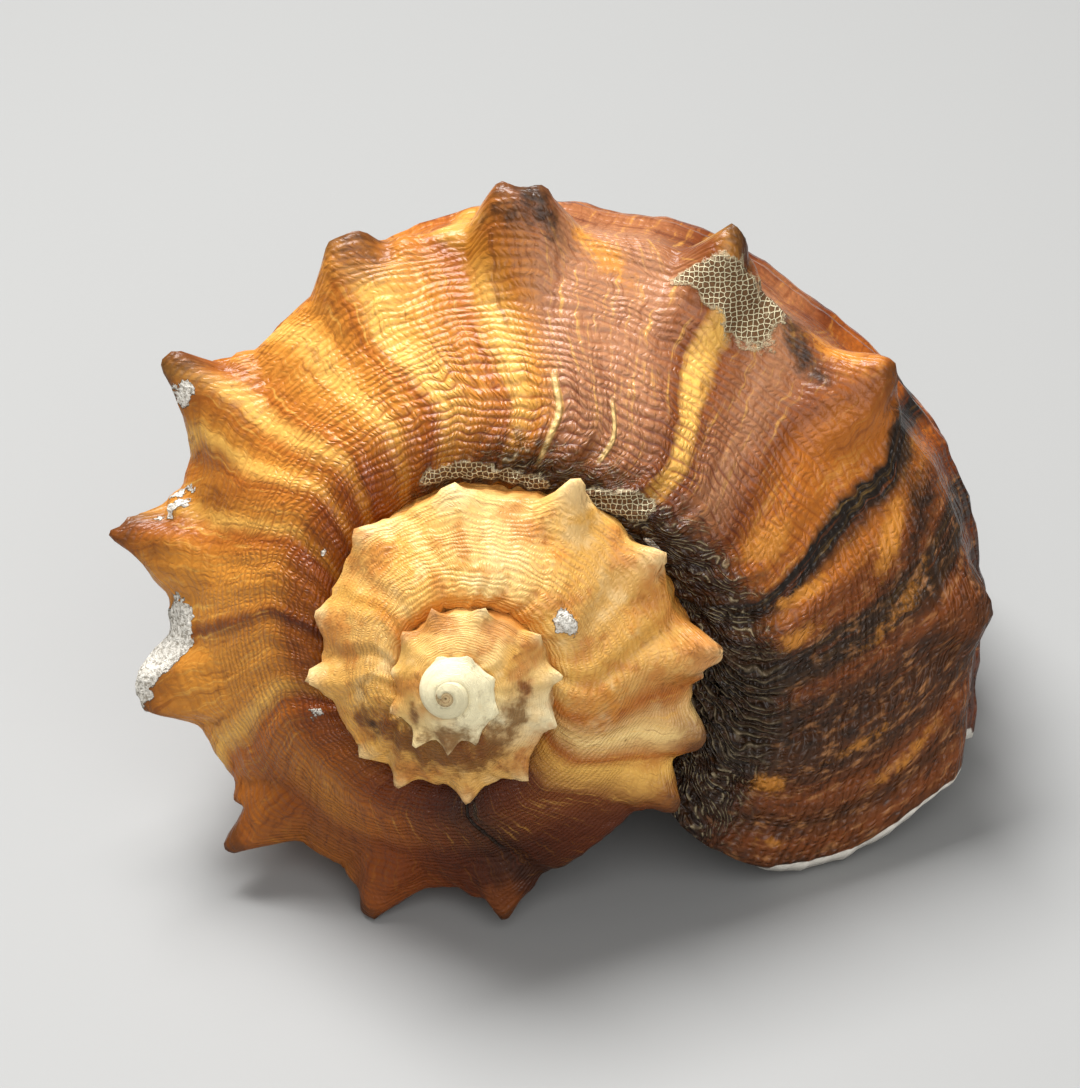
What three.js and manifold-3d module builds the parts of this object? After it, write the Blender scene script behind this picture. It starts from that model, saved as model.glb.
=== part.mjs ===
// A rapa whelk shell with a spined shoulder, lying mouth down as a found shell lies on a table.
// Millimetres, +Z up, the shell resting on z = 0. The shell is worked out standing on its own
// coiling axis (apex at the origin, canal pointing down -Z) and is turned into its resting pose last.
import * as THREE from 'three';
import Module from 'manifold-3d';

// ---- size and coiling -------------------------------------------------------------------------
const SHOULDER = 36.3;        // shoulder radius of the last whorl, mm
const GROWTH = 2.42;          // how many times wider the shell gets in one turn
const SLOWING = 0.0195;       // the young whorls grew a little more slowly than that
const TURNS = 4.5;            // turns from the lip back to the apex
const LIP = -41.6;            // azimuth that the most advanced part of the lip reaches, degrees

// Slow unevenness of the shoulder radius: [turns back, per cent].
const UNEVEN = [[-0.16, -7], [-0.04, -5.5], [0.04, -1.5], [0.12, -2.5], [0.20, 0.5], [0.27, 3.5], [0.34, 2],
  [0.41, 1.2], [0.49, 1], [0.57, 4], [0.63, 2], [0.71, -3.3], [0.78, -5], [0.845, -6.5], [0.917, -1.5],
  [0.98, 2], [1.05, 3.7], [1.117, 5.5], [1.2, 0.5], [1.3, 2], [1.385, 2.5], [1.47, -1], [1.57, -1],
  [1.64, -3.3], [1.71, -3], [1.79, 2], [1.97, -4], [2.06, 2], [2.24, -5], [2.34, -7], [2.48, -11],
  [2.62, 1], [2.78, 3], [3.1, 0], [9, 0]];

// Outline of a whorl in shoulder radii, from the suture over the ramp, the shoulder and the ribbed
// side down to the tip of the canal: [radius, height, how far the growth line lags there, degrees].
const OUTSIDE = [[0.36, -0.47, 4], [0.40, -0.415, 4.4], [0.435, -0.378, 4], [0.50, -0.362, 0.5],
  [0.60, -0.388, -1], [0.70, -0.445, 0.8], [0.78, -0.50, 4.5], [0.86, -0.555, 10], [0.94, -0.613, 17],
  [1.0, -0.66, 22], [1.0, -0.74, 23], [0.995, -0.84, 22.5], [1.008, -0.93, 22.5], [0.965, -1.06, 22.5],
  [0.97, -1.16, 22.5], [0.9, -1.31, 24], [0.865, -1.43, 26], [0.69, -1.69, 31], [0.51, -1.91, 38],
  [0.38, -2.10, 49], [0.30, -2.27, 62]];
// The side towards the axis, from the canal tip up to the suture: the narrow navel and the columella.
const INSIDE = [[0.2, -2.30, 62], [0.12, -2.12, 52], [0.085, -1.8, 30], [0.06, -1.4, 10],
  [0.03, -1.0, 0], [0.03, -0.6, 0], [0.18, -0.50, 2]];
// The room the animal lived in: the same walls a little further in, then back up the columella.
const ROOM = [[0.455, -0.445, 4], [0.52, -0.408, 0.5], [0.60, -0.433, -1], [0.70, -0.493, 0.8],
  [0.84, -0.592, 8.5], [0.925, -0.668, 17], [0.955, -0.73, 22], [0.955, -0.92, 22.5],
  [0.92, -1.14, 22.5], [0.81, -1.42, 26], [0.635, -1.65, 31], [0.465, -1.85, 38], [0.33, -2.02, 49],
  [0.225, -2.06, 49], [0.18, -1.8, 38], [0.165, -1.4, 26], [0.19, -1.05, 15], [0.24, -0.86, 8],
  [0.325, -0.70, 4], [0.395, -0.57, 4]];
const ROOM_TURNS = 0.9;       // how far back the hollow is carried
// The open groove of the canal, only near the lip.
const CANAL = [[0.34, -1.95, 0], [0.27, -2.45, 0], [0.17, -2.45, 0], [0.2, -1.95, 0]];
const CANAL_FROM = -75;       // degrees
const CANAL_TO = 36;
const CANAL_END = 75;         // the broken tip of the canal, mm below the apex

// ---- spines of the shoulder -------------------------------------------------------------------
// [turns back, length mm]; the small spines of the spire are the same growth, seen when it was young.
const SPINES = [[0.005, 1.8], [0.091, 3.8], [0.159, 4.6], [0.239, 4.2], [0.303, 2.9], [0.383, 5.5],
  [0.453, 5.1], [0.531, 4.5], [0.608, 4.3], [0.685, 3.1], [0.762, 2.5], [0.898, 1.5], [0.947, 1.6],
  [1.006, 2.7], [1.081, 1.4], [1.159, 2.0], [1.254, 0.9], [1.347, 0.8], [1.441, 0.7], [1.505, 1.7],
  [1.608, 0.7], [1.663, 0.9], [1.754, 1.3], [1.839, 1.1], [1.935, 0.6], [2.013, 0.7], [2.082, 0.6],
  [2.191, 0.4], [2.289, 0.7], [2.366, 0.5], [2.557, 0.8], [2.656, 0.8], [2.737, 0.7], [2.815, 0.5]];
const SPINE_LIFT = 25;        // degrees that a spine points up from straight outwards
const SPINE_WIDE = 9.5;       // half width of the foot of a spine along the shoulder, degrees
const SPINE_HIGH = 0.15;      // half height of its foot across the shoulder, shoulder radii

// ---- how it lies ------------------------------------------------------------------------------
const AXIS_RISE = 19.66;      // the axis climbs this much towards the apex, degrees
const AXIS_HEADING = -11.48;  // the apex end points along -Y, turned this much, degrees
const ROLL = 1.15;            // turn about its own axis, degrees
const WORN = 0.35;            // depth of the small flats worn where the shell touches, mm

const RINGS_PER_TURN = 40;    // fineness of the last whorl
const TAU = 2 * Math.PI;
const DEG = Math.PI / 180;

const wasm = await Module();
wasm.setup();
const { Manifold, Mesh } = wasm;

// A table of [x, y] read at x, eased from one entry to the next.
function eased(table, x) {
  let i = 0;
  while (i < table.length - 2 && x > table[i + 1][0]) {
    i += 1;
  }
  const [x0, y0] = table[i];
  const [x1, y1] = table[i + 1];
  const f = Math.min(1, Math.max(0, (x - x0) / (x1 - x0)));
  return y0 + (y1 - y0) * f * f * (3 - 2 * f);
}

// Shoulder radius u turns back from the lip: it shrinks by GROWTH each turn, a little unevenly.
function shoulderRadius(u) {
  const smooth = SHOULDER * Math.exp(-Math.log(GROWTH) * u + SLOWING * u * u);
  return smooth * (1 + eased(UNEVEN, u) / 100);
}

// A point given in shoulder radii (radius, height), u turns back along the coil.
function onShell(u, radius, height) {
  const s = shoulderRadius(u);
  return [s * radius * Math.cos(TAU * u), s * radius * Math.sin(TAU * u), s * height];
}

function distance(p, q) {
  return Math.hypot(p[0] - q[0], p[1] - q[1], p[2] - q[2]);
}

function solid(points, triangles) {
  const mesh = new Mesh({
    numProp: 3,
    vertProperties: new Float32Array(points.flat()),
    triVerts: new Uint32Array(triangles.flat()),
  });
  const made = new Manifold(mesh);
  if (made.volume() > 0) {
    return made;
  }
  return solid(points, triangles.map(([a, b, c]) => [a, c, b]));
}

// A length of tube whose section is the closed outline, through the given growth stages q (turns
// back). Each corner of the outline sits at u = q + its own lag, so the ends follow growth lines.
function tube(outline, stages) {
  const rings = stages.length - 1;
  const count = outline.length;
  const points = [];
  for (const q of stages) {
    for (const [radius, height, lag] of outline) {
      points.push(onShell(q + lag / 360, radius, height));
    }
  }
  const triangles = [];
  for (let i = 0; i < rings; i += 1) {
    for (let j = 0; j < count; j += 1) {
      const a = i * count + j;
      const b = i * count + (j + 1) % count;
      // Each patch is halved along its shorter diagonal.
      if (distance(points[a], points[b + count]) < distance(points[b], points[a + count])) {
        triangles.push([a, b, b + count], [a, b + count, a + count]);
      } else {
        triangles.push([a, b, a + count], [b, b + count, a + count]);
      }
    }
  }
  // The two end faces, each turned to run against the sides it meets.
  const flat = outline.map(([radius, height]) => new THREE.Vector2(radius, height));
  const faces = THREE.ShapeUtils.triangulateShape(flat, []);
  const follows = (a, b) => b === (a + 1) % count;
  const forward = faces.some(([a, b, c]) => follows(a, b) || follows(b, c) || follows(c, a));
  const last = rings * count;
  for (const [a, b, c] of faces) {
    const [m, n] = forward ? [b, c] : [c, b];
    triangles.push([a, n, m], [last + a, last + m, last + n]);
  }
  return solid(points, triangles);
}

// Growth stages from one turn to another, so many to a turn.
function stagesBetween(from, to, perTurn) {
  const count = Math.round((to - from) * perTurn);
  return Array.from({ length: count + 1 }, (unused, i) => from + i / perTurn);
}

// The coil in lengths of under half a turn, each sharing its end rings with the next.
function coil(outline, from, to, perTurn) {
  const stages = stagesBetween(from, to, perTurn);
  const reach = Math.round(0.4 * perTurn);
  const parts = [];
  for (let i = 0; i < stages.length - 1; i += reach) {
    parts.push(tube(outline, stages.slice(i, i + reach + 1)));
  }
  return Manifold.union(parts);
}

// One spine: a scale folded out of the shoulder, wide at the foot and drawn out to a blunt point.
function spine([u, length]) {
  const s = shoulderRadius(u);
  const lift = SPINE_LIFT * DEG;
  const points = [];
  const around = 8;
  for (const [spread, out] of [[1.15, -0.22], [0.52, 0.34], [0.1, 0.95]]) {
    for (let k = 0; k < around; k += 1) {
      const angle = TAU * k / around;
      const du = Math.cos(angle) * spread * SPINE_WIDE / 360;
      const across = Math.sin(angle) * spread * SPINE_HIGH;
      const ramp = across > 0 ? 0.74 : 0.2;
      const radius = 1 - Math.abs(across) * ramp + out * length / s * Math.cos(lift);
      const height = -0.68 + across * (across > 0 ? 0.62 : 0.95) + out * length / s * Math.sin(lift);
      points.push(onShell(u + du, radius, height));
    }
  }
  const tip = points.push(onShell(u, 1 + length / s * Math.cos(lift), -0.68 + length / s * Math.sin(lift))) - 1;
  const root = points.push(onShell(u, 0.9, -0.68)) - 1;
  const triangles = [];
  for (let k = 0; k < around; k += 1) {
    const n = (k + 1) % around;
    for (const ring of [0, around]) {
      triangles.push([ring + k, ring + n, ring + around + n], [ring + k, ring + around + n, ring + around + k]);
    }
    triangles.push([2 * around + k, 2 * around + n, tip], [n, k, root]);
  }
  return solid(points, triangles);
}

// The largest closed skin of a solid: gaps sealed between the whorls are filled, crumbs fall away.
function largest(made) {
  return made.decompose().reduce((best, next) => (next.volume() > best.volume() ? next : best));
}

// Body: the solid coil, a slim core along the axis and the dome of the first whorl.
const section = [...OUTSIDE, ...INSIDE];
const youngSection = section.filter((corner, i) => i % 2 === 0 || (i > 0 && i < 10));
const START = LIP / 360;
const SECOND = START + 45 / RINGS_PER_TURN;
const THIRD = SECOND + 1;
const whorls = Manifold.union([
  coil(section, START, SECOND, RINGS_PER_TURN),
  coil(section, SECOND, THIRD, 32),
  coil(youngSection, THIRD, TURNS, 20),
]);
const core = Manifold.union([
  Manifold.cylinder(42, 3, 0.5, 12, false).translate([0, 0, -46]),
  Manifold.cylinder(14, 0.4, 3, 12, false).translate([0, 0, -60]),
]);
const dome = Manifold.sphere(1.15, 20).scale([1, 1, 0.9]).translate([0, 0, -1.0]);
const spines = SPINES.map(spine);
const body = largest(Manifold.union([whorls, core, dome, ...spines]));

// Hollow: the room inside the last whorl and a half, and the open canal.
const room = coil(ROOM, START - 1 / 12, ROOM_TURNS, 30);
const groove = coil(CANAL, CANAL_FROM / 360, CANAL_TO / 360, 30);
const grown = largest(body.subtract(room).subtract(groove).trimByPlane([0, 0, 1], -CANAL_END));

// Turned as it lies, set down on z = 0 and centred; the touching points are worn flat.
const posed = grown.rotate([0, 0, ROLL]).rotate([90 - AXIS_RISE, 0, 0]).rotate([0, 0, AXIS_HEADING]);
const box = posed.boundingBox();
const floor = box.min[2] + WORN;
const worn = posed.trimByPlane([0, 0, 1], floor).simplify(0.05);
const shell = worn.translate([-(box.min[0] + box.max[0]) / 2, -(box.min[1] + box.max[1]) / 2, -floor]);

const out = shell.getMesh();
const geometry = new THREE.BufferGeometry();
const positions = new Float32Array(out.numVert * 3);
for (let i = 0; i < out.numVert; i += 1) {
  for (let k = 0; k < 3; k += 1) {
    positions[3 * i + k] = out.vertProperties[i * out.numProp + k];
  }
}
geometry.setAttribute('position', new THREE.BufferAttribute(positions, 3));
geometry.setIndex(new THREE.BufferAttribute(new Uint32Array(out.triVerts), 1));
geometry.computeVertexNormals();

const mesh = new THREE.Mesh(geometry, new THREE.MeshStandardMaterial({ color: 0x9a6a3a, roughness: 0.5 }));
mesh.name = 'shell';
const part = new THREE.Group();
part.name = 'rapa_whelk_shell';
part.add(mesh);

export default part;
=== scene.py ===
import math

import bpy
import numpy as np
from mathutils import Matrix, Vector


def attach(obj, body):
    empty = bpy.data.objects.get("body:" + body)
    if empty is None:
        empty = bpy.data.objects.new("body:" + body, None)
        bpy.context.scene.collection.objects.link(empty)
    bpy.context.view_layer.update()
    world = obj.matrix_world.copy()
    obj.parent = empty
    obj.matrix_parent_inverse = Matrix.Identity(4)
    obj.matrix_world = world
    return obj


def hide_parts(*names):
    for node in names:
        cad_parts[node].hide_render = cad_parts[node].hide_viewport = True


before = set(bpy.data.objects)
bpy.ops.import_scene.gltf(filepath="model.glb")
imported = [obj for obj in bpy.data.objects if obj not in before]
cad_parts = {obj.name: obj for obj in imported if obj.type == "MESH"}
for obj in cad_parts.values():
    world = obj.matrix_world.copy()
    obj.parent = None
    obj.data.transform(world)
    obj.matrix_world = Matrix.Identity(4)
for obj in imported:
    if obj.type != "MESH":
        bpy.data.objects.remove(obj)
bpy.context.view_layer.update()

# The shell: one piece of lime that the snail grew round a coiling axis, with a wall about two
# millimetres thick. Every stage of growth is the same outline, larger and turned further on.
# q counts turns back from the lip, and a point that lags behind its growth line lies at u = q + lag.
SHOULDER = 0.0363
GROWTH = 2.42
SLOWING = 0.0195
TURNS = 4.5
LIP = -41.6 / 360
ROOM_TURNS = 0.9
CANAL_END = -0.075
# How uneven the shoulder radius is: turns back, per cent.
UNEVEN = [
    (-0.16, -7), (-0.04, -5.5), (0.04, -1.5), (0.12, -2.5), (0.20, 0.5), (0.27, 3.5), (0.34, 2), (0.41, 1.2),
    (0.49, 1), (0.57, 4), (0.63, 2), (0.71, -3.3), (0.78, -5), (0.845, -6.5), (0.917, -1.5), (0.98, 2),
    (1.05, 3.7), (1.117, 5.5), (1.2, 0.5), (1.3, 2), (1.385, 2.5), (1.47, -1), (1.57, -1), (1.64, -3.3),
    (1.71, -3), (1.79, 2), (1.97, -4), (2.06, 2), (2.24, -5), (2.34, -7), (2.48, -11), (2.62, 1),
    (2.78, 3), (3.1, 0), (9, 0),
]
# The outline in shoulder radii: radius, height, lag of the growth line in degrees. It runs from the
# suture over the ramp (rows 0 to 8), the shoulder (9) and the side to the canal (20) and up the axis.
OUTLINE = [
    (0.36, -0.47, 4), (0.40, -0.415, 4.4), (0.435, -0.378, 4), (0.50, -0.362, 0.5), (0.60, -0.388, -1),
    (0.70, -0.445, 0.8), (0.78, -0.50, 4.5), (0.86, -0.555, 10), (0.94, -0.613, 17), (1.0, -0.66, 22),
    (1.0, -0.74, 23), (0.995, -0.84, 22.5), (1.008, -0.93, 22.5), (0.965, -1.06, 22.5), (0.97, -1.16, 22.5),
    (0.9, -1.31, 24), (0.865, -1.43, 26), (0.69, -1.69, 31), (0.51, -1.91, 38), (0.38, -2.10, 49),
    (0.30, -2.27, 76), (0.20, -2.30, 76), (0.12, -2.12, 52), (0.085, -1.8, 30), (0.06, -1.4, 10),
    (0.03, -1.0, 0), (0.03, -0.6, 0), (0.18, -0.50, 2),
]
# The wall of the room inside, row for row behind the outline.
ROOM = [
    (0.425, -0.50, 4), (0.44, -0.47, 4), (0.46, -0.44, 4), (0.52, -0.41, 0.5), (0.60, -0.433, -1),
    (0.70, -0.493, 0.8), (0.775, -0.545, 4.5), (0.85, -0.60, 9.5), (0.915, -0.655, 16), (0.948, -0.70, 21),
    (0.955, -0.76, 22.5), (0.955, -0.84, 22.5), (0.955, -0.93, 22.5), (0.93, -1.05, 22.5),
    (0.92, -1.15, 22.5), (0.86, -1.30, 24), (0.81, -1.42, 26), (0.635, -1.65, 31), (0.465, -1.85, 38),
    (0.34, -2.03, 49),
    (0.285, -2.20, 66), (0.225, -2.20, 64), (0.19, -2.0, 46), (0.175, -1.75, 32), (0.165, -1.4, 22),
    (0.19, -1.05, 13), (0.25, -0.83, 8), (0.36, -0.63, 4),
]


def eased(table, x):
    """A table of (x, y) rows read at x, going from row to row by the smooth step f*f*(3 - 2*f)."""
    xs, ys = np.array(table, float).T
    i = np.clip(np.searchsorted(xs, x) - 1, 0, len(xs) - 2)
    f = np.clip((x - xs[i]) / (xs[i + 1] - xs[i]), 0, 1)
    return ys[i] + (ys[i + 1] - ys[i]) * f * f * (3 - 2 * f)


def shoulder_radius(u):
    """Shoulder radius u turns back: SHOULDER * GROWTH**-u * e**(SLOWING*u*u), times the unevenness."""
    return SHOULDER * np.exp(-math.log(GROWTH) * u + SLOWING * u * u) * (1 + eased(UNEVEN, u) / 100)


def along_rows(rows, t):
    """The closed outline at row number t: the Catmull-Rom cubic through its rows, which passes each
    row with the slope of the line between its two neighbours."""
    rows = np.array(rows, float)
    i = np.floor(t).astype(int)
    f = (t - i)[..., None]
    a, b, c, d = (rows[(i + k) % len(rows)] for k in (-1, 0, 1, 2))
    return 0.5 * (2 * b + (c - a) * f + (2 * a - 5 * b + 4 * c - d) * f**2 + (3 * b - a - 3 * c + d) * f**3)


def on_shell(q, section):
    """Points of a section (radius, height, lag) at stage q: at u = q + lag/360 the point is
    shoulder_radius(u) * (radius*cos(2*pi*u), radius*sin(2*pi*u), height). Gives u as well."""
    radius, height, lag = np.moveaxis(section, -1, 0)
    u = q + lag / 360
    s = shoulder_radius(u)
    turn = 2 * math.pi * u
    return u, np.stack([s * radius * np.cos(turn), s * radius * np.sin(turn), s * height], -1)


def uneven_steps(spans):
    """Numbers from span to span: each (start, end, count) gives count even steps, with the last end added."""
    parts = [np.linspace(start, end, count, endpoint=False) for start, end, count in spans]
    return np.append(np.concatenate(parts), spans[-1][1])


# Where the grid's columns cut the outline: the last whorl shows its whole side, the older whorls
# only their ramp and shoulder.
columns_last = uneven_steps([(0, 8, 60), (8, 11, 22), (11, 20, 32), (20, 28, 12)])[:-1]
columns_old = uneven_steps([(0, 8, 60), (8, 11, 30), (11, 14, 12), (14, 28, 24)])[:-1]
stages = uneven_steps([(LIP, 0.95, 420), (0.95, 2, 160), (2, 3, 80), (3, TURNS, 64)])
q = stages[:, None]
share_old = eased([(0.95, 0), (1.15, 1)], q)
t = columns_last * (1 - share_old) + columns_old * share_old
section = along_rows(OUTLINE, t)
# The first whorl closes like the end of a ball round its nucleus, from this many turns back.
CLOSES = 4.1
closing = np.sqrt(1 - np.clip((q - CLOSES) / (TURNS - CLOSES), 0, 0.999) ** 2)[..., None]
nucleus = np.array([0.3, -0.75, 8])
section = nucleus + (section - nucleus) * closing
u, outside = on_shell(q, section)


def outward(points):
    """Unit normals of a grid of points: the cross product of its steps along the columns and the rows."""
    down = np.gradient(points, axis=0)
    across = np.roll(points, -1, axis=1) - np.roll(points, 1, axis=1)
    normal = np.cross(across, down)
    return normal / (np.linalg.norm(normal, axis=-1, keepdims=True) + 1e-12)


def wander(x, seed):
    """Random curve of x: a random height from -1 to 1 at every whole number, eased in between."""
    heights = np.random.default_rng(seed).uniform(-1, 1, 1024)
    i = np.floor(x).astype(int)
    f = x - i
    f = f * f * (3 - 2 * f)
    return heights[i % 1024] * (1 - f) + heights[(i + 1) % 1024] * f


def hills(x, y, seed):
    """Random surface of x and y: random heights from -1 to 1 on the whole numbers, eased in between."""
    heights = np.random.default_rng(seed).uniform(-1, 1, (256, 256))
    i, j = np.floor(x).astype(int), np.floor(y).astype(int)
    f, g = x - i, y - j
    f, g = f * f * (3 - 2 * f), g * g * (3 - 2 * g)
    near = heights[i % 256, j % 256] * (1 - g) + heights[i % 256, (j + 1) % 256] * g
    far = heights[(i + 1) % 256, j % 256] * (1 - g) + heights[(i + 1) % 256, (j + 1) % 256] * g
    return near * (1 - f) + far * f


# The spines: scales that the lip folded out of the shoulder, open towards the mouth.
# Turns back, length mm, half width of the foot towards the older and the younger side, half width of
# the blunt end (all degrees), depth of the fold as a share of the length.
SPINES = [
    (0.005, 1.8, 6, 6, 0.9, 0.1), (0.091, 3.6, 8, 6, 1.2, 0.5), (0.159, 4.5, 6, 6, 2.4, 0.7),
    (0.236, 3.8, 8, 8, 3.2, 0.15), (0.303, 2.9, 9, 10, 2.6, 0.6), (0.383, 5.3, 12, 8, 1.3, 0.5),
    (0.453, 5.0, 11, 8, 1.3, 0.5), (0.527, 3.9, 9, 9, 3.6, 0.1), (0.608, 4.0, 9, 8, 2.0, 0.6),
    (0.685, 3.1, 10, 9, 1.8, 0.3), (0.762, 2.6, 11, 10, 1.6, 0.3), (0.898, 1.9, 9, 8, 2.5, 0.4),
    (0.947, 2.0, 8, 7, 3.0, 0.5), (1.006, 3.4, 10, 8, 2.8, 0.5), (1.081, 1.8, 10, 8, 2.6, 0.7),
    (1.159, 2.5, 10, 8, 3.0, 0.6), (1.254, 1.0, 10, 9, 3.0, 0.4), (1.347, 1.0, 10, 9, 3.0, 0.4),
    (1.441, 0.9, 10, 8, 2.0, 0.3), (1.505, 1.8, 11, 9, 2.0, 0.4), (1.608, 0.9, 9, 8, 2.0, 0.3),
    (1.663, 1.1, 9, 8, 2.0, 0.3), (1.754, 1.5, 9, 8, 1.5, 0.3), (1.839, 1.3, 10, 9, 2.0, 0.3),
    (1.935, 0.9, 11, 10, 1.5, 0.2), (2.013, 1.1, 11, 10, 1.5, 0.2), (2.082, 1.0, 11, 10, 1.5, 0.2),
    (2.191, 0.8, 11, 10, 1.5, 0.2), (2.289, 1.0, 11, 10, 1.5, 0.2), (2.366, 0.8, 11, 10, 1.5, 0.2),
    (2.46, 0.5, 12, 11, 1.5, 0.1), (2.557, 1.0, 13, 12, 1.5, 0.1), (2.656, 1.1, 13, 12, 1.5, 0.1),
    (2.737, 0.9, 13, 12, 1.5, 0.1), (2.815, 0.7, 13, 12, 1.5, 0.1), (2.93, 0.45, 15, 14, 3, 0),
    (3.05, 0.45, 16, 15, 3, 0), (3.17, 0.4, 16, 15, 3, 0), (3.29, 0.3, 16, 15, 3, 0),
]
# How far a spine points up, the row that it stands on, and how far its foot reaches down the side and
# up the ramp, in shoulder radii. Then how blunt and how lumpy it is, and where its open slit lies and how
# wide and high that is.
SPINE_LIFT = math.radians(25)
SPINE_ROW = 9.3
SPINE_HIGH = 0.14
SPINE_ROOT = 0.24
BLUNT = 1.2
LUMPY = 0.22
SLIT_AT = 0.42
SLIT_WIDE = 0.24
SLIT_HIGH = 0.33
steps = np.diff(section[..., :2], axis=1, prepend=section[:, :1, :2])
arc = np.cumsum(np.linalg.norm(steps, axis=-1), axis=1)
shoulder_arc = np.array([np.interp(SPINE_ROW, row_t, row_arc) for row_t, row_arc in zip(t, arc)])[:, None]
above = arc - shoulder_arc
above = above / np.where(above > 0, SPINE_HIGH, SPINE_ROOT)
spines = np.zeros_like(outside)
fold = np.zeros_like(t)
for at, length, older, younger, blunt, depth in SPINES:
    degrees = (u - at) * 360
    foot = np.where(degrees > 0, older, younger)
    aside = np.maximum(np.abs(degrees) - blunt, 0) / (foot - blunt)
    near = np.clip(1 - np.sqrt(aside**2 + above**2), 0, 1)
    off_slit = (degrees + SLIT_AT * younger) / (SLIT_WIDE * younger)
    hollow = depth * np.exp(-(off_slit**2) - (above / SLIT_HIGH) ** 2)
    uneven = 1 + LUMPY * hills(degrees * 0.35 + 50, above * 3.5 + 20, int(at * 1000))
    height = length / 1000 * (near**BLUNT * uneven - hollow)
    turn = 2 * math.pi * at
    lifted = np.cos(SPINE_LIFT)
    way = np.array([lifted * math.cos(turn), lifted * math.sin(turn), math.sin(SPINE_LIFT)])
    spines += height[..., None] * way
    fold = np.maximum(fold, near)


# Growth lines curve back towards the shoulder a little less than the lip does: row, degrees.
BEND = [
    (0, 4), (3, 4), (4, 3.5), (5, 0.5), (5.5, 0), (6, 0.5), (6.5, 1.5), (7, 3.5), (7.5, 6.5), (8, 9), (9, 10),
    (28, 10),
]
growth = q * 360 + eased(BEND, t) * eased([(LIP, 0), (0.02, 1)], q)
size = shoulder_radius(u) / SHOULDER
# How far a growth line wanders, degrees, in long waves and in short ones.
LONG_WAVER = 0.9
SHORT_WAVER = 0.2
waver = LONG_WAVER * hills(growth * 0.10, t * 0.8, 11) + SHORT_WAVER * hills(growth * 0.4, t * 1.6, 12)
waver = waver * eased([(LIP, 0), (0.02, 1), (0.9, 1), (1.0, 1.8), (3, 1.8)], q)

# Marks on the shell: stage in degrees back from the lip, row, half widths of both, strength.
NET = [
    (42, 7.9, 4, 0.3, 1), (37, 8.0, 4, 0.45, 1), (32, 8.4, 4, 0.6, 1), (27, 9.4, 3, 0.7, 1),
    (99, 2.5, 5, 0.25, 0.8), (92, 2.5, 6, 0.3, 1), (85, 2.4, 5, 0.3, 1), (74, 2.3, 7, 0.3, 1),
    (66, 2.3, 4, 0.3, 0.7), (52, 2.6, 4, 0.35, 1), (47, 3.0, 4, 0.45, 1), (42, 3.1, 3, 0.4, 0.9),
]
CRUST = [
    (160, 8.6, 6, 0.7, 1), (163, 8.0, 5, 0.35, 1), (157, 9.8, 4, 0.8, 1), (167, 9.2, 5, 0.9, 1),
    (169, 10, 4, 0.7, 0.8), (198, 3.05, 5, 0.4, 0.55), (31, 2.6, 4, 0.16, 1), (138, 8.5, 2.6, 0.5, 0.7),
    (134, 8.8, 1.5, 0.5, 0.6), (121, 8.6, 2.2, 0.6, 0.7), (390, 3.8, 7.5, 0.5, 1), (142, 3.1, 4, 0.3, 0.4),
]
SOOT = [
    (50, 2.4, 14, 1.0, 1), (30, 2.6, 14, 1.15, 1), (10, 2.8, 14, 1.25, 1.1), (-8, 2.9, 14, 1.4, 1.2),
    (-30, 2.8, 16, 1.35, 1.3), (74, 2.3, 14, 0.75, 0.8), (95, 2.2, 14, 0.6, 0.7), (-3, 5.2, 4.0, 2.2, 0.45),
    (-1.5, 8.2, 4, 1.0, 0.75), (5, 8.6, 3, 0.5, 0.9), (24, 9.2, 4, 1.2, 0.8), (22, 8.2, 3, 0.5, 0.5),
    (76, 3.2, 20, 0.6, 0.42), (68, 8.3, 3.5, 0.35, 0.7), (61, 9.6, 3, 1.6, 0.6), (87, 8.8, 2.5, 0.7, 0.35),
    (274, 3.8, 1.0, 1.8, 0.7), (268, 6.0, 7, 0.4, 0.3), (565, 6.0, 8, 0.6, 0.7), (130, 2.0, 20, 0.5, 0.4),
    (-20, 9.3, 12, 0.9, 0.5), (36, 9.3, 4, 0.5, 0.6), (62, 8.6, 3, 0.5, 0.5), (-27, 6.5, 8, 2.0, 0.3),
    (-14, 5.5, 7, 2.2, 0.42), (-40, 6, 3, 3, 0.35),
]
GILT = [
    (-26, 4.4, 3.2, 0.42, 0.72), (2.5, 4.6, 2, 0.5, 0.9), (9.5, 4.9, 1.6, 0.8, 0.9), (2.5, 7.2, 2.5, 0.7, 1),
    (-6.5, 7.0, 2, 1.4, 0.5), (21, 4.6, 4, 0.7, 0.8), (-31, 7.4, 2, 0.9, 0.6), (-22, 6.2, 1.5, 1.2, 0.5),
    (-37, 5.0, 1.5, 0.6, 0.5), (54, 8.4, 4, 1.0, 0.8), (17, 9.3, 5, 1.0, 0.7), (96, 8.6, 8, 0.8, 0.6),
    (113, 8.0, 5, 1.0, 0.5), (470, 2.2, 32, 1.1, 0.8), (420, 2.4, 40, 0.9, 0.8), (407, 6.3, 7, 0.8, 0.6),
    (371, 6.6, 6, 0.6, 0.6), (497, 5.0, 4, 3.0, 0.55), (350, 4.5, 14, 1.6, 0.6), (445, 4.4, 50, 0.7, 0.45),
]
# Red-brown patches, most at the feet of the spines: partly their own colour, partly painted shade.
RED_BROWN_AND_SHADE_SPOTS = [
    (73, 8.1, 5.5, 0.8, 1.0), (76, 7.0, 5, 0.9, 0.6), (90, 8.5, 5, 0.6, 0.7), (113, 8.0, 3, 1.2, 0.5),
    (141, 7.6, 4, 1.8, 0.6), (150, 5.2, 5, 1.4, 0.5), (37, 8.6, 3, 0.8, 0.5), (130, 3.6, 22, 0.7, 0.4),
    (170, 3.2, 14, 0.6, 0.4),
]
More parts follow.
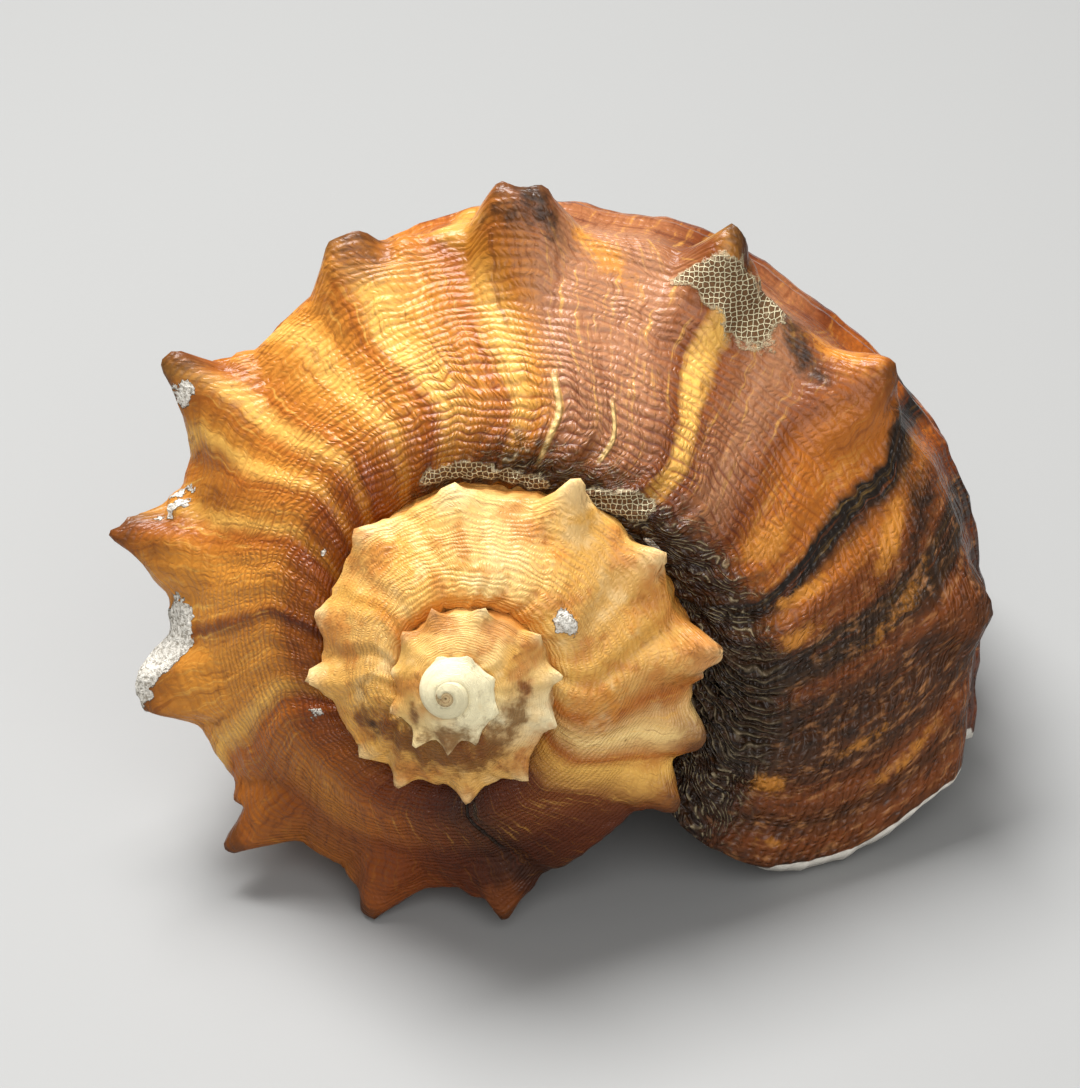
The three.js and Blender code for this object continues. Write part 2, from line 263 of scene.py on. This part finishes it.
# Grey-brown dirt, with painted shade on the shaded side of the spire.
DIRT_AND_SHADE = [
    (600, 4.2, 45, 2.2, 1), (650, 4.5, 30, 2.0, 1), (560, 6.2, 10, 1.2, 0.8), (695, 5.0, 20, 1.8, 0.8),
    (720, 5.6, 18, 1.2, 0.4), (975, 7.5, 45, 2.6, 0.9), (925, 5.4, 12, 1.2, 0.5), (600, 9.5, 45, 1.5, 0.35),
    (805, 6.5, 14, 0.6, 0.3), (840, 2.3, 60, 0.5, 0.35),
]


def marks(places):
    """The sum of soft spots: strength * e**-(((stage - at)/wide)**2 + ((row - over)/high)**2), at most 1."""
    stage = np.broadcast_to(q * 360, t.shape)
    total = np.zeros_like(t)
    for at, over, wide, high, strength in places:
        total += strength * np.exp(-(((stage - at) / wide) ** 2) - ((t - over) / high) ** 2)
    return np.minimum(total, 1)


# Relief that the hand would feel: swellings between rests of growth, wrinkles along the growth lines,
# spiral cords, deep folds below the suture on the youngest third, and the ridge and groove on its ramp.
# Heights are millimetres on the last whorl, and cords are counted to a row of the outline.
LONG_SWELL = 0.20
SHORT_SWELL = 0.14
WRINKLE = 0.10
CORD = 0.085
CORDS_TO_A_ROW = 2.5
FOLD = 0.50
CROSS_FOLD = 0.22
LIP_WAVE = 0.55
RIDGE = 0.40
GROOVE = 0.35
RIB = 0.30
PIT = 0.12
CRUST_THICK = 0.22
CRUST_LUMP = 0.14
NET_THICK = 0.14
ramp = eased([(0.5, 0), (2.5, 1), (8, 1), (10, 0.4), (20, 0.6), (22, 0)], t)
late = eased([(0.0, 1), (0.16, 0.75), (0.3, 0.25), (0.5, 0)], q)
swell = LONG_SWELL * wander(growth / 7, 1) + SHORT_SWELL * wander(growth / 3.1, 2)
swell = swell * eased([(0.88, 1), (0.98, 3), (2.4, 3), (3, 1)], q)
wrinkles = WRINKLE * ramp * wander(growth / 1.7, 5) * (0.6 + 0.4 * hills(growth / 8, t * 1.5, 6))
cord_wave = np.cos(2 * math.pi * CORDS_TO_A_ROW * t)
cords = CORD * ramp * cord_wave * (0.6 + 0.4 * hills(growth / 9, t * 2.5, 7)) * eased([(11, 1), (12, 0)], t)
fold_at = q * 360 - 9 * eased([(2.2, 1), (3.7, 0)], t) + 1.2 * hills(q * 40, t, 8)
under_suture = eased([(0.5, 0), (1.6, 1), (3.4, 1), (4.6, 0)], t)
folds = FOLD * late * under_suture * wander(fold_at / 2.2, 3)
fold_run = t * 4 + fold_at * 0.25
folds += CROSS_FOLD * late * under_suture * wander(fold_run, 9)
lip_waves = LIP_WAVE * eased([(-0.05, 1), (0.05, 0)], q) * under_suture * np.sin(fold_at * 2 * math.pi / 3.6)
folds += lip_waves * eased([(-0.06, 0), (-0.035, 1), (0.01, 1), (0.02, 0)], q)
ridge = RIDGE * late * np.exp(-(((t - 3.3) / 0.45) ** 2)) - GROOVE * late * np.exp(-(((t - 4.2) / 0.5) ** 2))
side = eased([(10, 0), (12, 1), (19, 1), (20, 0.3), (28, 0)], t)
ribs = RIB * side * np.cos(2 * math.pi * t)
pits = PIT * hills(growth / 2.0, t * 3.5, 4)
relief = (swell + wrinkles + cords + folds + ridge + ribs + pits) * size * eased([(2.6, 1), (3.4, 0.3)], q)
crust_marks, net_marks = marks(CRUST), marks(NET)
crust_lumps = CRUST_THICK + CRUST_LUMP * hills(growth * 1.1, t * 6, 15)
crust_share = eased([(0.4, 0), (0.6, 1)], crust_marks)
net_share = eased([(0.3, 0), (0.6, 1)], net_marks)
relief += crust_lumps * crust_share + NET_THICK * net_share
relief = relief / 1000
outside = outside + outward(outside) * relief[..., None] + spines

# The first whorls are worn: their sutures are almost filled to one smooth cap. Its top, how far it drops
# over its radius, in metres, and how nearly the whorls are worn down to it.
CAP_TOP = -0.0002
CAP_DROP = 0.0017
CAP_RADIUS = 0.0029
CAP_SHARE = 0.85
across_axis = np.linalg.norm(outside[..., :2], axis=-1)
cap = CAP_TOP - CAP_DROP * (across_axis / CAP_RADIUS) ** 2
worn = CAP_SHARE * eased([(2.95, 0), (3.3, 1)], q) * eased([(7, 1), (9.5, 0), (22, 0), (24, 1)], t)
outside[..., 2] += worn * (cap - outside[..., 2])

# The lip and the room behind it: the edge is rounded over, and the room's far end is closed.
ROOM_RINGS = 34
EDGE_AHEAD = 0.001
room_stages = np.linspace(ROOM_TURNS, LIP, ROOM_RINGS)[:, None]
room_section = along_rows(ROOM, np.broadcast_to(columns_last, (ROOM_RINGS, len(columns_last))))
room = on_shell(room_stages, room_section)[1]
edge_share = np.array([0.12, 0.35, 0.65, 0.88])[:, None, None]
edge = room[-1] + (outside[0] - room[-1]) * edge_share
lip_out = eased([(3, 0.3), (4.6, 0.3), (5.8, 1.1), (8.5, 1.2), (10, 0.6), (20, 0.8)], columns_last)
last_step = outside[0] - outside[1]
edge_ahead = EDGE_AHEAD * lip_out[:, None] * np.sin(edge_share * math.pi) * last_step / (
    np.linalg.norm(last_step, axis=-1, keepdims=True) + 1e-9)
skin = np.concatenate([room, edge + edge_ahead, outside])
skin[..., 2] = np.maximum(skin[..., 2], CANAL_END)

# How it lies: the axis rises towards the apex, which is at APEX in metres, and the shell stands on worn
# flats on the table.
RISE = math.radians(90 - 19.66)
HEADING = math.radians(-11.48)
ROLL = math.radians(1.15)
APEX = np.array([-0.008282, -0.034645, 0.024043])


def turned(angle, axis):
    """Matrix that turns by an angle about axis 0 (x) or 2 (z)."""
    c, s = math.cos(angle), math.sin(angle)
    about_x = np.array([[1, 0, 0], [0, c, -s], [0, s, c]])
    about_z = np.array([[c, -s, 0], [s, c, 0], [0, 0, 1]])
    return about_x if axis == 0 else about_z


pose = turned(HEADING, 2) @ turned(RISE, 0) @ turned(ROLL, 2)
skin = skin @ pose.T + APEX
skin[..., 2] = np.maximum(skin[..., 2], 0)

rings, around = skin.shape[:2]
corners = np.arange(rings * around).reshape(rings, around)
here, beside = corners[:-1], np.roll(corners, -1, axis=1)[:-1]
after, after_beside = corners[1:], np.roll(corners, -1, axis=1)[1:]
quads = np.stack([here, beside, after_beside, after], -1).reshape(-1, 4)
deep_end, apex_end = rings * around, rings * around + 1
first, last = corners[0], corners[-1]
fan_deep = np.stack([np.full(around, deep_end), np.roll(first, -1), first], -1)
fan_apex = np.stack([np.full(around, apex_end), last, np.roll(last, -1)], -1)
places = np.concatenate([skin.reshape(-1, 3), skin[:1].mean(1), skin[-1:].mean(1)])

mesh = bpy.data.meshes.new("whelk_shell")
mesh.from_pydata(places, [], quads.tolist() + fan_deep.tolist() + fan_apex.tolist())
mesh.shade_smooth()

within = len(room) + len(edge)


def lay_on(name, values, inner):
    """Keeps a number for every vertex: values on the outside, inner ones for the room and the lip's edge."""
    inside = np.broadcast_to(np.asarray(inner, float), (within, around))
    whole = np.concatenate([np.ravel(inside), np.ravel(values), [inside[0, 0], np.ravel(values)[-1]]])
    mesh.attributes.new(name, "FLOAT", "POINT").data.foreach_set("value", whole.astype(np.float32))


# The map that the colours follow: across it runs growth in turns, up it the rows of the outline.
room_growth = np.broadcast_to(room_stages, (ROOM_RINGS, around))
inner_growth = np.concatenate([room_growth, np.full((len(edge), around), LIP)])
map_growth = np.concatenate([inner_growth, (growth + waver) / 360])
map_row = np.concatenate([np.broadcast_to(columns_last, (within, around)), t])
next_row = np.roll(map_row, -1, axis=1)
next_row[:, -1] = len(OUTLINE)
next_growth = np.roll(map_growth, -1, axis=1)
map_quads = np.stack([
    np.stack([map_growth[:-1], map_row[:-1]], -1), np.stack([next_growth[:-1], next_row[:-1]], -1),
    np.stack([next_growth[1:], next_row[1:]], -1), np.stack([map_growth[1:], map_row[1:]], -1),
], 2).reshape(-1, 2)
map_deep = np.tile([ROOM_TURNS, 10.0], (3 * around, 1))
map_apex = np.tile([TURNS, 5.0], (3 * around, 1))
growth_map = mesh.uv_layers.new(name="growth")
growth_map.data.foreach_set("uv", np.concatenate([map_quads, map_deep, map_apex]).ravel().astype(np.float32))

lay_on("net", net_marks, 0)
lay_on("crust", crust_marks, 0)
soot_marks = marks(SOOT)
is_edge = np.append(np.zeros(len(room) - 1), np.ones(len(edge) + 1))[:, None]
lay_on("soot", soot_marks, soot_marks[:1] * is_edge)
# The wrinkles of the film by the lip follow the folds, this many degrees apart.
FOLD_PITCH = 1.6
lay_on("fold", fold_at / FOLD_PITCH, 0)
lay_on("gilt", marks(GILT), 0)
lay_on("dirt", marks(DIRT_AND_SHADE), 0)
lay_on("spine", fold, 0)

# How wide the porcelain shows past the worn lip: row of the outline, degrees.
lip_band = eased([
    (4.9, 0), (5.6, 0.7), (8.2, 0.8), (9, 0.6), (10, 1.8), (12.5, 2.0), (14, 0.6), (20, 0.9), (22, 0),
], t)
lip_band = lip_band * (1 + 0.6 * wander(t * 3.3, 21))
lay_on("porcelain", np.clip(0.5 + (0.65 * lip_band - 0.12 - (q - LIP) * 360) / 0.6, 0, 1),
       1 - is_edge * eased([(0, 1), (4.6, 1), (5.4, 0)], columns_last))

# Spiral threads, five to a row of the outline and fewer on the spire, and how plainly they show.
THREADS = 5
SPIRE_THREADS = 3.2
threads = t * eased([(0.9, THREADS), (1.0, SPIRE_THREADS), (9, SPIRE_THREADS)], q)
threads = threads + 0.7 * hills(growth * 0.08, t * 1.2, 13) + 0.45 * hills(growth * 0.35, t * 1.7, 14)
lay_on("thread", threads, 0)
plainness = eased([
    (1.5, 0.3), (2.8, 1), (4.6, 1), (6.2, 0.5), (7.5, 0.35), (10, 0.35), (20, 0.5), (28, 0.2),
], t)
plainness = plainness * eased([
    (LIP, 0.45), (0.03, 0.7), (0.1, 1), (0.26, 1), (0.36, 0.65), (0.8, 0.5), (0.93, 0.45), (0.97, 0.4),
    (1.4, 0.4), (2, 0.15), (3, 0),
], q)
lay_on("plainly", plainness, 0)

# Red-brown colour with painted shade: darker next to the suture, and painted shade on the side that the spire
# shades.
deep = eased([(2.2, 1), (3.2, 0.85), (4.8, 0)], t) * eased([(LIP, 1), (0.6, 1), (0.9, 0.6), (0.97, 0)], q)
spire_shade = eased([(0.50, 0), (0.60, 1), (0.80, 1), (0.87, 0)], q)
deep = deep + spire_shade * eased([(3, 0.35), (5.5, 0.5), (6.5, 1), (9, 0.9), (11, 0.4), (20, 0.2)], t)
lay_on("deep", np.clip(deep + marks(RED_BROWN_AND_SHADE_SPOTS), 0, 1), 0)

shell = bpy.data.objects.new("whelk_shell", mesh)
bpy.context.collection.objects.link(shell)
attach(shell, "root")
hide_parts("shell")

# The finish: semi-gloss lime, banded brown, orange and yellow along its growth lines.
material = bpy.data.materials.new("whelk_lime")
material.use_nodes = True
mesh.materials.append(material)


class Field:
    """A number or colour that varies over the shell: one output of the material's nodes, with arithmetic."""

    tree = material.node_tree

    def __init__(self, socket):
        self.socket = socket

    @classmethod
    def node(cls, kind, settings, inputs, output=0):
        """Adds a node: its settings first, then the value of or the link to each input."""
        made = cls.tree.nodes.new(kind)
        for name, value in settings.items():
            if name == "stops":
                stops = made.color_ramp.elements
                stops.remove(stops[1])
                stops[0].position, stops[0].color = value[0]
                for at, colour in value[1:]:
                    stops.new(at).color = colour
            else:
                setattr(made, name, value)
        for name, value in inputs.items():
            if isinstance(value, Field):
                cls.tree.links.new(value.socket, made.inputs[name])
            else:
                made.inputs[name].default_value = value
        return cls(made.outputs[output])

    def math(self, operation, *others):
        """One Math node on this field and the others."""
        return Field.node("ShaderNodeMath", {"operation": operation}, dict(enumerate((self, *others))))

    def __add__(self, other):
        return self.math("ADD", other)

    def __radd__(self, other):
        return self.math("ADD", other)

    def __sub__(self, other):
        return self.math("SUBTRACT", other)

    def __rsub__(self, other):
        return Field.node("ShaderNodeMath", {"operation": "SUBTRACT"}, {0: other, 1: self})

    def __mul__(self, other):
        return self.math("MULTIPLY", other)

    def __rmul__(self, other):
        return self.math("MULTIPLY", other)

    def over(self, low, high, smooth=True):
        """0 below low, 1 above high, and a smooth or straight rise between."""
        settings = {"interpolation_type": "SMOOTHSTEP" if smooth else "LINEAR"}
        return Field.node("ShaderNodeMapRange", settings, {"Value": self, 1: low, 2: high})

    def crests(self):
        """1 on every whole number, falling straight to 0 halfway between: twice |fraction - 0.5|."""
        return (self.math("FRACT") - 0.5).math("ABSOLUTE") * 2


def attribute(name):
    """The number that every vertex keeps under a name."""
    return Field.node("ShaderNodeAttribute", {"attribute_name": name}, {}, "Fac")


def blend(below, above, share, kind="MIX"):
    """A colour laid over another by a share, or multiplied into it."""
    settings = {"data_type": "RGBA", "blend_type": kind}
    return Field.node("ShaderNodeMix", settings, {0: share, 6: below, 7: above}, 2)


def noise(place, scale, detail=2.0, rough=0.5):
    """Noise from about 0.2 to 0.8 with its mean at 0.5."""
    inputs = {"Vector": place, "Scale": scale, "Detail": detail, "Roughness": rough}
    return Field.node("ShaderNodeTexNoise", {}, inputs)


def map_noise(x, y, detail=2.0, rough=0.5):
    """The same noise laid on the growth map, read at x and y."""
    place = Field.node("ShaderNodeCombineXYZ", {}, {"X": x, "Y": y})
    inputs = {"Vector": place, "Scale": 1.0, "Detail": detail, "Roughness": rough}
    return Field.node("ShaderNodeTexNoise", {"noise_dimensions": "2D"}, inputs)


# The colours of the bands, from the pale spire to the black film.
CREAM = (0.84, 0.58, 0.22, 1)
STRAW = (0.78, 0.43, 0.09, 1)
GOLD = (0.56, 0.22, 0.028, 1)
ORANGE = (0.42, 0.125, 0.013, 1)
RUST = (0.19, 0.048, 0.007, 1)
UMBER = (0.065, 0.021, 0.005, 1)
SEPIA = (0.036, 0.016, 0.006, 1)
BLACK = (0.012, 0.007, 0.004, 1)
LILAC = (0.40, 0.175, 0.08, 1)
WHITE = (0.92, 0.82, 0.52, 1)
BUFF = (0.74, 0.44, 0.13, 1)

growth_map_at = Field.node("ShaderNodeUVMap", {"uv_map": "growth"}, {})
split = "ShaderNodeSeparateXYZ"
stage = Field.node(split, {}, {0: growth_map_at}, 0) * 360
row = Field.node(split, {}, {0: growth_map_at}, 1)
on_object = Field.node("ShaderNodeTexCoord", {}, {}, "Object")
millimetres = Field.node("ShaderNodeVectorMath", {"operation": "SCALE"}, {0: on_object, "Scale": 1000.0})

# Growth bands in order back from the lip, degrees and colour, their edges frayed.
fraying = (map_noise(stage * 0.45, row * 2.4) - 0.5) * 1.5
band_at = stage + fraying


def banded(start, end, bands):
    """Colours at stages, blended from one to the next."""
    stops = [((at - start) / (end - start), colour) for at, colour in bands]
    return Field.node("ShaderNodeValToRGB", {"stops": stops}, {"Fac": band_at.over(start, end, False)})


youngest = banded(-42, 110, [
    (-42, UMBER), (-38, RUST), (-34, UMBER), (-29, RUST), (-24, UMBER), (-11, UMBER), (-8, RUST), (-6, UMBER),
    (-4.5, SEPIA), (0.5, SEPIA), (2, RUST), (6, RUST), (10, ORANGE), (12.8, BLACK), (15.6, BLACK),
    (17, ORANGE), (25, ORANGE), (30, RUST), (36, LILAC), (43.8, RUST), (45.5, STRAW), (48, STRAW),
    (49.3, RUST), (56, LILAC), (73, LILAC), (78, GOLD), (83, STRAW), (86, ORANGE), (93, GOLD), (101, STRAW),
    (104, ORANGE), (110, GOLD),
])
# On the side of the last whorl that faces down, from 240 to 310 degrees, the bands run darker: partly their
# own colour, partly painted shade.
middle = banded(110, 345, [
    (110, GOLD), (113, STRAW), (116, GOLD), (124, ORANGE), (127, STRAW), (130, ORANGE), (134, GOLD),
    (136, STRAW), (139, ORANGE), (146, GOLD), (148, STRAW), (151, ORANGE), (158, GOLD), (168, GOLD),
    (171, RUST), (175, GOLD), (190, GOLD), (194, STRAW), (198, ORANGE), (225, GOLD), (240, ORANGE),
    (258, RUST), (274, UMBER), (290, RUST), (308, RUST), (321, STRAW), (326, ORANGE), (334, CREAM),
    (345, ORANGE),
])
spire = banded(345, 1180, [
    (345, ORANGE), (352, BUFF), (366, STRAW), (385, BUFF), (400, STRAW), (430, CREAM), (470, STRAW),
    (490, BUFF), (498, STRAW), (510, BUFF), (560, STRAW), (660, BUFF), (690, WHITE), (720, CREAM),
    (745, STRAW), (760, CREAM), (890, STRAW), (930, CREAM), (1010, WHITE), (1180, WHITE),
])
lime = blend(blend(youngest, middle, stage.over(109.5, 110.5)), spire, stage.over(340, 350))
is_spire = stage.over(335, 350)

porcelain = attribute("porcelain")

# Streaks along the growth lines, lighter and darker, then spiral threads cut across by growth lines:
# their grooves are red-brown, and their crests stand up as rows of beads.
streaks = map_noise((stage + fraying * 0.4) * 0.85, row * 0.5, 3.0, 0.62)
plain = is_spire * 0.65
red_brown_and_shade_mask = attribute("deep")
pale_streaks = streaks.over(0.55, 0.76) * 0.6 * (1 - plain) * stage.over(-20, 75) * (1 - red_brown_and_shade_mask * 0.7)
lime = blend(lime, STRAW, pale_streaks)
lime = blend(lime, RUST, streaks.over(0.45, 0.28) * 0.5 * (1 - plain))
thread_crest = attribute("thread").crests()
cut_at = stage * 0.75 + (map_noise(stage * 0.3, row * 2.6) - 0.5) * 2.4
cut_crest = cut_at.crests()
patchy = map_noise(stage * 0.22 + 40, row * 2.2)
plainly = attribute("plainly")
thread_groove = thread_crest.over(0.52, 1.0) * patchy.over(0.38, 0.56) * plainly
cut_groove = cut_crest.over(0.5, 1.0) * patchy.over(0.60, 0.44) * (plainly * 0.5 + 0.2)
lime = blend(lime, (0.36, 0.15, 0.07, 1), thread_groove * 0.8, "MULTIPLY")
lime = blend(lime, (0.50, 0.28, 0.16, 1), cut_groove * 0.5 * (1 - plain), "MULTIPLY")
# Painted shade, partly red-brown colour: multiplied in by the suture, on the side under the spire and at the
# spines' feet.
lime = blend(lime, (0.42, 0.28, 0.11, 1), red_brown_and_shade_mask, "MULTIPLY")
rib_crest = row.crests()
on_side = row.over(9.6, 11.5)
lime = blend(lime, (0.80, 0.66, 0.52, 1), on_side, "MULTIPLY")
dashes = rib_crest.over(0.35, 0.9) * patchy.over(0.42, 0.58) * on_side * 0.8
lime = blend(lime, (0.42, 0.22, 0.12, 1), dashes, "MULTIPLY")
specks = map_noise(stage * 0.62 + 15, row * 2.3, 2.0, 0.6)
by_lip = stage.over(14, -4)
lime = blend(lime, (0.44, 0.19, 0.065, 1), specks.over(0.53, 0.78) * by_lip * 0.65 * (1 - porcelain))
lime = blend(lime, BLACK, specks.over(0.45, 0.24) * by_lip * 0.6)
spine_tip = attribute("spine")
lime = blend(lime, RUST, (spine_tip + (patchy - 0.5) * 0.5).over(0.3, 0.75) * 0.65 * (1 - is_spire))
lime = blend(lime, UMBER, (spine_tip + (patchy - 0.5) * 0.4).over(0.72, 0.95) * 0.7 * (1 - is_spire))
lime = blend(lime, WHITE, spine_tip.over(0.35, 0.9) * 0.4 * is_spire)
patches = noise(millimetres, 0.28, 3.0, 0.65)
lime = blend(lime, (0.54, 0.20, 0.035, 1), patches.over(0.46, 0.64) * 0.75 * is_spire * stage.over(1050, 900))
lime = blend(lime, (0.88, 0.64, 0.30, 1), patches.over(0.46, 0.32) * 0.6 * is_spire)
lime = blend(lime, (0.88, 0.82, 0.76, 1), is_spire * row.over(3.0, 4.5) * stage.over(1000, 800), "MULTIPLY")


def line_along(at, half, start, end):
    """A thin line on one growth line, from one row of the outline to another."""
    near_line = (stage - at).math("ABSOLUTE").over(half, half * 0.3)
    return near_line * row.over(start, start + 0.3) * row.over(end, end - 0.3)


# Two healed scars that stand pale, and one dark crack.
scars = line_along(74.3, 1.0, 2.8, 5.1).math("MAXIMUM", line_along(61.7, 0.8, 3.4, 4.9))
lime = blend(lime, CREAM, scars * 0.7)
crack = line_along(273.5, 0.9, 3.0, 6.4)
lime = blend(lime, BLACK, crack * 0.85)

# Black film by the suture with painted sheen on its wrinkle crests, golden marks, the net crust and the lime
# crust.
mottle = noise(millimetres, 1.1, 3.0, 0.65) - 0.5
wavy = map_noise(stage * 0.16, row * 1.3, 1.0) - 0.5
across_ramp = (row * 5 + stage * 0.5 + wavy * 6).crests().over(0.4, 1.0)
along_fold = (attribute("fold") + wavy * 3).crests().over(0.4, 1.0)
folded = stage.over(7, 1) * stage.over(-24, -17)
wrinkle = (across_ramp + (along_fold - across_ramp) * folded) * row.over(4.6, 3.7)
soot = (attribute("soot") + mottle * 1.3).over(0.15, 0.95)
film_with_sheen = blend(BLACK, SEPIA, streaks.over(0.4, 0.6))
broken = (mottle + 0.5).over(0.46, 0.60)
# Painted sheen: the wrinkle crests in the black film are coloured as if lit, satin grey-brown on the folds by
# the lip and pale buff elsewhere.
film_with_sheen = blend(film_with_sheen, (0.17, 0.125, 0.075, 1), wrinkle * folded * 0.8)
film_with_sheen = blend(film_with_sheen, (0.42, 0.34, 0.20, 1), wrinkle * broken * (1 - folded * 0.5) * 0.75)
lime = blend(lime, film_with_sheen, soot * 0.92)
gilt = (attribute("gilt") + mottle * 1.3).over(0.25, 0.8)
lime = blend(lime, (0.60, 0.23, 0.03, 1), gilt * 0.85)
# Grey-brown dirt and painted shade, multiplied into the spire's colour.
dirt = (attribute("dirt") + mottle * 2.0 + (patches - 0.5) * 0.8).over(0.1, 0.95)
lime = blend(lime, (0.28, 0.175, 0.08, 1), dirt * 0.92, "MULTIPLY")
upright = Matrix(pose.T.tolist()).to_euler()
across_coil = Field.node("ShaderNodeMapping", {}, {"Vector": millimetres, "Rotation": upright})
cell_kind = {"feature": "DISTANCE_TO_EDGE", "voronoi_dimensions": "2D"}
CELLS_TO_A_MILLIMETRE = 2.7
cell_laying = {"Vector": across_coil, "Scale": CELLS_TO_A_MILLIMETRE, "Randomness": 0.55}
cells = Field.node("ShaderNodeTexVoronoi", cell_kind, cell_laying)
net_at = attribute("net") + mottle * 1.1
net_line = (1 - cells.over(0.04, 0.15)).math("MAXIMUM", net_at.over(0.66, 0.4) * 0.6)
net = net_at.over(0.34, 0.56)
lime = blend(lime, blend((0.13, 0.062, 0.022, 1), (0.76, 0.66, 0.42, 1), net_line), net)
crust = (attribute("crust") + mottle * 1.2).over(0.42, 0.5)
grains = noise(millimetres, 3.5, 2.0, 0.7)
lime = blend(lime, blend((0.34, 0.30, 0.24, 1), (0.76, 0.72, 0.64, 1), grains.over(0.3, 0.6)), crust)

# The lip and the room: porcelain, white at the lip and peach further in.
inside_colour = blend((0.80, 0.75, 0.66, 1), (0.76, 0.34, 0.11, 1), stage.over(-38, 40) * 0.9)
colour = blend(lime, inside_colour, porcelain.over(0.4, 0.6))

beads = (1 - thread_crest.over(0.1, 1.0)) * (1 - cut_crest.over(0.2, 1.0) * 0.6)
height = (
    beads * (plainly * 0.45 + 0.1 + stage.over(20, 0) * 0.5 * (1 - porcelain)) + mottle * 0.4 + scars * 0.8
    - crack * 1.2 + wrinkle * soot * (folded + 0.7) + net_line * net * 0.7 + (grains + 0.6) * crust * 1.1
) * (1 - porcelain)
BEAD_HIGH = 0.00022
bump = Field.node("ShaderNodeBump", {}, {"Height": height, "Strength": 1.0, "Distance": BEAD_HIGH}, "Normal")
matt = crust.math("MAXIMUM", net) * 0.4 + 0.34 + mottle * 0.4 - porcelain * 0.08
surface = material.node_tree.nodes["Principled BSDF"]
surface.inputs["Specular IOR Level"].default_value = 0.28
for name, field in {"Base Color": colour, "Roughness": matt, "Normal": bump}.items():
    material.node_tree.links.new(field.socket, surface.inputs[name])

# The table top: a wide pale board.
bpy.ops.mesh.primitive_plane_add(size=4)
board = bpy.context.object
board.name = "board"
paint = bpy.data.materials.new("pale_board")
paint.use_nodes = True
paint.node_tree.nodes["Principled BSDF"].inputs["Base Color"].default_value = (0.27, 0.27, 0.265, 1)
paint.node_tree.nodes["Principled BSDF"].inputs["Roughness"].default_value = 0.6
board.data.materials.append(paint)

# The camera looks down on the spire from a quarter of a metre, as the photograph was taken. Its focal
# length, the place of the apex and the middle of the frame are in the photograph's pixels.
LEAN = np.array([-0.17, -0.25])
FOCAL = 3600
AWAY = 0.25
APEX_AT = (445, 700)
MIDDLE = (540, 544)
SENSOR = 36
to_eye = np.append(LEAN, math.sqrt(1 - LEAN @ LEAN))
tilt = np.cross([0, 0, 1], to_eye)
tilt_sine = np.linalg.norm(tilt)
kx, ky, kz = tilt / tilt_sine
cross = np.array([[0, -kz, ky], [kz, 0, -kx], [-ky, kx, 0]])
look = np.eye(3) + tilt_sine * cross + (1 - to_eye[2]) * cross @ cross
apex_seen = np.array([(APEX_AT[0] - MIDDLE[0]) / FOCAL, -(APEX_AT[1] - MIDDLE[1]) / FOCAL, -1]) * AWAY
eye = pose @ (-look.T @ apex_seen) + APEX
camera = bpy.data.objects.new("camera", bpy.data.cameras.new("camera"))
camera.data.sensor_width = SENSOR
camera.data.lens = SENSOR * FOCAL / (2 * MIDDLE[1])
camera.data.clip_start = 0.01
turn_to = Matrix((pose @ look.T).tolist()).to_4x4()
camera.matrix_world = Matrix.Translation(eye.tolist()) @ turn_to
bpy.context.collection.objects.link(camera)
bpy.context.scene.camera = camera


def soft_light(name, place, aim, width, power):
    """A square area light at a place, facing another, so wide and so strong."""
    lamp = bpy.data.objects.new(name, bpy.data.lights.new(name, "AREA"))
    lamp.data.size = width
    lamp.data.energy = power
    way = Vector(aim) - Vector(place)
    lamp.rotation_euler = way.to_track_quat("-Z", "Y").to_euler()
    lamp.location = place
    bpy.context.collection.objects.link(lamp)


soft_light("window", (-0.08, 0.14, 0.45), (0, 0, 0.02), 0.26, 4.7)
soft_light("fill", (0.10, -0.45, 0.40), (0, 0, 0.02), 0.5, 2.4)
world = bpy.data.worlds.new("room")
world.use_nodes = True
world.node_tree.nodes["Background"].inputs["Color"].default_value = (1, 1, 1, 1)
world.node_tree.nodes["Background"].inputs["Strength"].default_value = 0.3
bpy.context.scene.world = world
bpy.context.scene.view_settings.view_transform = "Standard"
